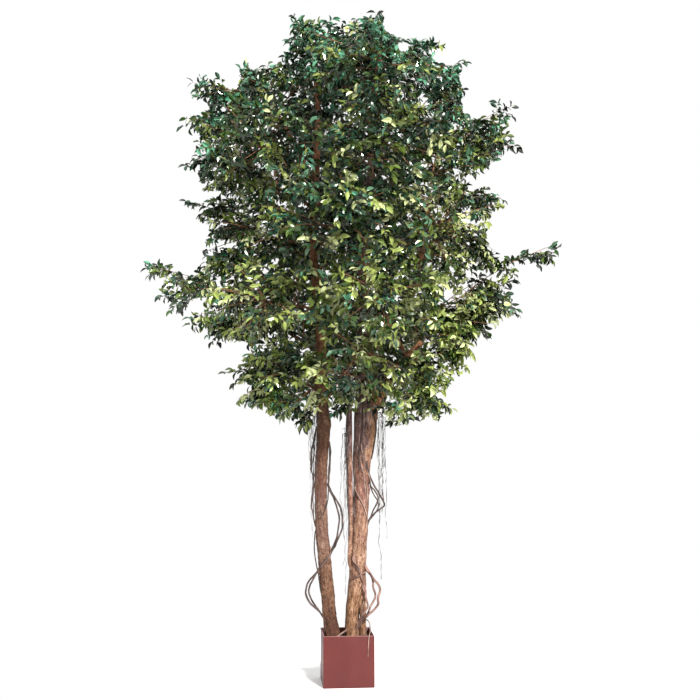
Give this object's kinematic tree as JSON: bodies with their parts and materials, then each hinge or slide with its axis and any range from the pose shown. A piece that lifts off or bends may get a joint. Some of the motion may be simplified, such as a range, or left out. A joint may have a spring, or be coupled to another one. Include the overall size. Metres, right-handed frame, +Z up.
{
  "type": "artificial banyan tree",
  "caption": "Tall artificial banyan with slim twin trunks, lianas, hanging roots and a full egg-shaped crown of small leaves, standing in a square planter.",
  "frame": {"origin": "middle of the planter's flat underside", "axes": "+Z up the trunks, -Y out of the front of the tree, +X to the right seen from the front"},
  "size_m": [2.7838, 2.0421, 4.4825],
  "materials": {
    "planter": "maroon lacquer, satin",
    "filling": "cast, dressed with dark bark",
    "grey_bark": "grey-brown bark",
    "pale_bark": "pale peeled bark",
    "vine": "dry bark",
    "leaves": "coated leaf cloth, half gloss"
  },
  "bodies": {
    "root": {"bough_high_2": "grey_bark", "bough_high_3": "grey_bark", "bough_high_5": "grey_bark", "bough_low_2": "grey_bark", "bough_low_3": "grey_bark", "bough_low_5": "grey_bark", "bough_middle_2": "grey_bark", "bough_middle_4": "grey_bark", "bough_middle_5": "grey_bark", "bough_skirt_2": "grey_bark", "bough_skirt_4": "grey_bark", "bough_top_1": "grey_bark", "bough_top_2": "grey_bark", "bough_upper_2": "grey_bark", "bough_upper_4": "grey_bark", "foliage_high_1": "leaves", "foliage_high_2": "leaves", "foliage_high_3": "leaves", "foliage_high_4": "leaves", "foliage_high_5": "leaves", "foliage_low_1": "leaves", "foliage_low_2": "leaves", "foliage_low_3": "leaves", "foliage_low_4": "leaves", "foliage_low_5": "leaves", "foliage_middle_1": "leaves", "foliage_middle_2": "leaves", "foliage_middle_3": "leaves", "foliage_middle_4": "leaves", "foliage_middle_5": "leaves", "foliage_skirt_1": "leaves", "foliage_skirt_2": "leaves", "foliage_skirt_3": "leaves", "foliage_skirt_4": "leaves", "foliage_top_1": "leaves", "foliage_top_2": "leaves", "foliage_top_3": "leaves", "foliage_upper_1": "leaves", "foliage_upper_2": "leaves", "foliage_upper_3": "leaves", "foliage_upper_4": "leaves", "leader_high": "grey_bark", "leader_left": "grey_bark", "leader_low": "grey_bark", "liana_left_loop": "vine", "liana_left_upper": "vine", "liana_right_bow": "vine", "liana_right_cross": "vine", "liana_right_elbow": "vine", "pot": "planter", "pot_fill": "filling", "roots_front": "vine", "roots_left": "vine", "roots_middle": "vine", "roots_right": "vine", "side_stem": "pale_bark", "slim_stem": "grey_bark", "trunk_left": "grey_bark", "trunk_right": "pale_bark"}
  },
  "joints": []
}
